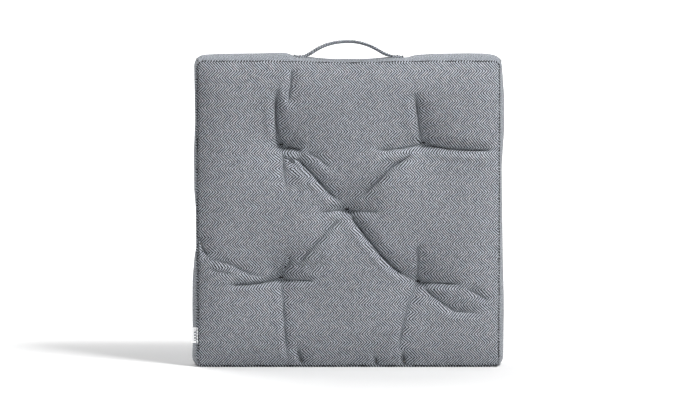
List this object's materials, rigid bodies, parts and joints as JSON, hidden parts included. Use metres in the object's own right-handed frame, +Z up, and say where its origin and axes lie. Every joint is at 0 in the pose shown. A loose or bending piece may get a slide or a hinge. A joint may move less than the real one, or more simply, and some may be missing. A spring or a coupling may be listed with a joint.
{
  "type": "floor cushion",
  "caption": "Square boxed floor cushion with pinched tufts, a strap handle on one edge and a small side label.",
  "frame": {"origin": "on the floor, under the middle of the cushion as it stands on its lower edge", "axes": "+Z up the cushion towards the handle, +Y from the front face through to the back face, +X to the right as seen from the front"},
  "size_m": [0.5, 0.104, 0.5239],
  "materials": {
    "herringbone": "charcoal and off-white wool-look herringbone weave",
    "seam_thread": "dark spun polyester sewing thread",
    "tie_cord": "dark waxed tufting cord",
    "case_cloth": "plain off-white non-woven",
    "fibre": "white hollow-fibre batt",
    "label_ribbon": "white satin woven ribbon"
  },
  "bodies": {
    "cushion": {"front_panel": "herringbone", "back_panel": "herringbone", "boxing_top": "herringbone", "boxing_left": "herringbone", "boxing_right": "herringbone", "boxing_bottom": "herringbone", "handle_end_left": "herringbone", "handle_end_right": "herringbone", "front_seam_thread": "seam_thread", "back_seam_thread": "seam_thread", "corner_seam_threads": "seam_thread", "handle_stitches_left": "seam_thread", "handle_stitches_right": "seam_thread", "tuft_tie_upper_left": "tie_cord", "tuft_tie_upper_right": "tie_cord", "tuft_tie_centre": "tie_cord", "tuft_tie_lower_left": "tie_cord", "tuft_tie_lower_right": "tie_cord", "inner_case_front": "case_cloth", "inner_case_boxing": "case_cloth", "inner_case_back": "case_cloth", "filling_front": "fibre", "filling_core": "fibre", "filling_back": "fibre"},
    "handle": {"handle_strap": "herringbone"},
    "label": {"label": "label_ribbon"}
  },
  "joints": [
    {"name": "handle_lean", "type": "hinge", "parent": "cushion", "child": "handle", "pos_m": [0, 0, 0.5021], "axis": [1, 0, 0], "range_deg": [-40, 40], "stiffness_Nm_per_rad": 0.01},
    {"name": "label_flap", "type": "hinge", "parent": "cushion", "child": "label", "pos_m": [-0.2432, -0.038, 0.051], "axis": [0, 0, 1], "range_deg": [-12, 130], "stiffness_Nm_per_rad": 0.0002}
  ]
}
